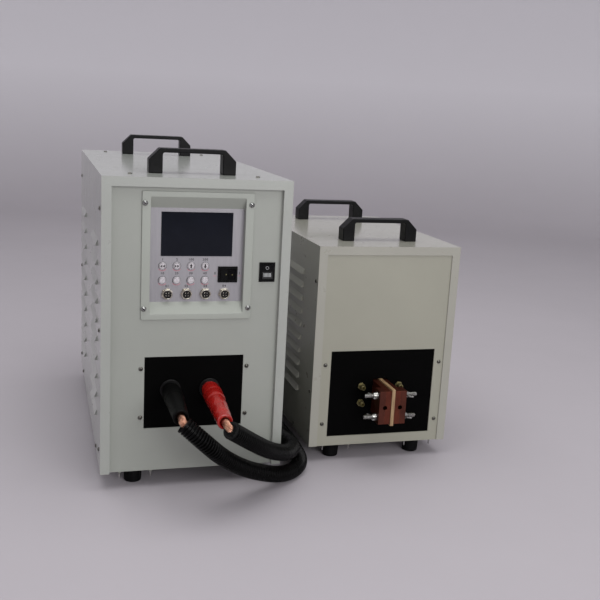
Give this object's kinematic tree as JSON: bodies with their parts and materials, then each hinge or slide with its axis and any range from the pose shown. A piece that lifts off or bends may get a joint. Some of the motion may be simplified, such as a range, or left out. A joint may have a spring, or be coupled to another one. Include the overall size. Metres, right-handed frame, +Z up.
{
  "type": "induction heating machine",
  "caption": "Two-cabinet induction heater: a generator with a control panel and a heating transformer with copper coil terminals, joined by two flexible leads.",
  "frame": {"origin": "on the table, under the middle of the box round the two cabinets", "axes": "+X to the machine's left as one faces its front (right in the picture), +Y from the front to the back, +Z up"},
  "size_m": [0.645, 0.8474, 0.55],
  "materials": {
    "grey_paint": "fine satin powder coat",
    "warm_grey_paint": "fine satin powder coat",
    "cover_paint": "semi-gloss powder coat",
    "handle_black": "moulded, satin",
    "bezel_grey": "satin",
    "screw_chrome": "plated",
    "fascia_silver": "silver print on film",
    "display_dark": "dark glass",
    "button_grey": "satin",
    "switch_black": "satin",
    "socket_metal": "plated",
    "insert_black": "moulded",
    "insulator_black": "pressed sheet",
    "plug_black": "moulded",
    "plug_red": "moulded",
    "rope_copper": "bare stranded copper",
    "hose_black": "corrugated",
    "gland_black": "moulded",
    "fitting_brass": "machined",
    "stud_steel": "zinc plated",
    "foot_rubber": "moulded",
    "busbar_copper": "tarnished copper",
    "insulator_ivory": "sheet",
    "plate_aluminium": "machined",
    "module_black": "moulded",
    "board_green": "solder mask",
    "core_dark": "pressed ferrite",
    "capacitor_metal": "drawn can"
  },
  "bodies": {
    "cabinets": {"bezel_screws": "screw_chrome", "black_lead_hose": "hose_black", "black_plug": "plug_black", "busbar_insulator": "insulator_ivory", "cable_glands": "gland_black", "clamp_studs": "stud_steel", "cold_plate": "plate_aluminium", "control_bezel": "bezel_grey", "control_board": "board_green", "coolant_nozzles": "fitting_brass", "cover_screws": "stud_steel", "display_panel": "display_dark", "earth_studs": "stud_steel", "fascia_plate": "fascia_silver", "lead_ropes": "rope_copper", "left_busbar": "busbar_copper", "main_cover": "cover_paint", "main_front_handle": "handle_black", "main_front_panel": "grey_paint", "main_insulating_plate": "insulator_black", "main_rear_handle": "handle_black", "main_rear_panel": "grey_paint", "main_tray": "cover_paint", "output_sockets": "insert_black", "panel_screws": "stud_steel", "power_modules": "module_black", "red_lead_hose": "hose_black", "red_plug": "plug_red", "right_busbar": "busbar_copper", "rubber_feet": "foot_rubber", "signal_socket_inserts": "insert_black", "signal_sockets": "socket_metal", "switch_frames": "switch_black", "tank_capacitors": "capacitor_metal", "transformer_core": "core_dark", "transformer_cover": "cover_paint", "transformer_front_handle": "handle_black", "transformer_front_panel": "warm_grey_paint", "transformer_insulating_plate": "insulator_black", "transformer_rear_handle": "handle_black", "transformer_rear_panel": "warm_grey_paint", "transformer_tray": "cover_paint", "water_fittings": "fitting_brass"},
    "lower_button_1": {"lower_button_1": "button_grey"},
    "lower_button_2": {"lower_button_2": "button_grey"},
    "lower_button_3": {"lower_button_3": "button_grey"},
    "lower_button_4": {"lower_button_4": "button_grey"},
    "upper_button_1": {"upper_button_1": "button_grey"},
    "upper_button_2": {"upper_button_2": "button_grey"},
    "upper_button_3": {"upper_button_3": "button_grey"},
    "upper_button_4": {"upper_button_4": "button_grey"},
    "selector_rocker": {"selector_rocker": "switch_black"},
    "power_rocker": {"power_rocker": "switch_black"},
    "left_clamp_plate": {"left_clamp_plate": "busbar_copper"},
    "left_upper_wing_nut": {"left_upper_wing_nut": "stud_steel"},
    "left_lower_wing_nut": {"left_lower_wing_nut": "stud_steel"},
    "right_clamp_plate": {"right_clamp_plate": "busbar_copper"},
    "right_upper_wing_nut": {"right_upper_wing_nut": "stud_steel"},
    "right_lower_wing_nut": {"right_lower_wing_nut": "stud_steel"}
  },
  "joints": [
    {"name": "lower_button_1_press", "type": "slide", "parent": "cabinets", "child": "lower_button_1", "axis": [0, 1, 0], "range_m": [0, 0.0015], "stiffness_N_per_m": 400},
    {"name": "lower_button_2_press", "type": "slide", "parent": "cabinets", "child": "lower_button_2", "axis": [0, 1, 0], "range_m": [0, 0.0015], "stiffness_N_per_m": 400},
    {"name": "lower_button_3_press", "type": "slide", "parent": "cabinets", "child": "lower_button_3", "axis": [0, 1, 0], "range_m": [0, 0.0015], "stiffness_N_per_m": 400},
    {"name": "lower_button_4_press", "type": "slide", "parent": "cabinets", "child": "lower_button_4", "axis": [0, 1, 0], "range_m": [0, 0.0015], "stiffness_N_per_m": 400},
    {"name": "upper_button_1_press", "type": "slide", "parent": "cabinets", "child": "upper_button_1", "axis": [0, 1, 0], "range_m": [0, 0.0015], "stiffness_N_per_m": 400},
    {"name": "upper_button_2_press", "type": "slide", "parent": "cabinets", "child": "upper_button_2", "axis": [0, 1, 0], "range_m": [0, 0.0015], "stiffness_N_per_m": 400},
    {"name": "upper_button_3_press", "type": "slide", "parent": "cabinets", "child": "upper_button_3", "axis": [0, 1, 0], "range_m": [0, 0.0015], "stiffness_N_per_m": 400},
    {"name": "upper_button_4_press", "type": "slide", "parent": "cabinets", "child": "upper_button_4", "axis": [0, 1, 0], "range_m": [0, 0.0015], "stiffness_N_per_m": 400},
    {"name": "selector_rocker_tip", "type": "hinge", "parent": "cabinets", "child": "selector_rocker", "pos_m": [-0.117, -0.321, 0.356], "axis": [0, 0, 1], "range_deg": [0, 16]},
    {"name": "power_rocker_tip", "type": "hinge", "parent": "cabinets", "child": "power_rocker", "pos_m": [-0.054, -0.33, 0.3615], "axis": [1, 0, 0], "range_deg": [0, 16]},
    {"name": "left_clamp_slide", "type": "slide", "parent": "cabinets", "child": "left_clamp_plate", "axis": [-1, 0, 0], "range_m": [0, 0.003]},
    {"name": "left_upper_nut_turn", "type": "hinge", "parent": "left_clamp_plate", "child": "left_upper_wing_nut", "pos_m": [0.153, -0.322, 0.1395], "axis": [-1, 0, 0], "range_deg": [0, 864]},
    {"name": "left_lower_nut_turn", "type": "hinge", "parent": "left_clamp_plate", "child": "left_lower_wing_nut", "pos_m": [0.153, -0.322, 0.1005], "axis": [-1, 0, 0], "range_deg": [0, 864]},
    {"name": "right_clamp_slide", "type": "slide", "parent": "cabinets", "child": "right_clamp_plate", "axis": [1, 0, 0], "range_m": [0, 0.003]},
    {"name": "right_upper_nut_turn", "type": "hinge", "parent": "right_clamp_plate", "child": "right_upper_wing_nut", "pos_m": [0.213, -0.322, 0.1395], "axis": [1, 0, 0], "range_deg": [0, 864]},
    {"name": "right_lower_nut_turn", "type": "hinge", "parent": "right_clamp_plate", "child": "right_lower_wing_nut", "pos_m": [0.213, -0.322, 0.1005], "axis": [1, 0, 0], "range_deg": [0, 864]}
  ],
  "couplings": [
    {"joint": "left_upper_nut_turn", "follows": "left_clamp_slide", "rad_per_m": 5026.5},
    {"joint": "left_lower_nut_turn", "follows": "left_clamp_slide", "rad_per_m": 5026.5},
    {"joint": "right_upper_nut_turn", "follows": "right_clamp_slide", "rad_per_m": 5026.5},
    {"joint": "right_lower_nut_turn", "follows": "right_clamp_slide", "rad_per_m": 5026.5}
  ]
}
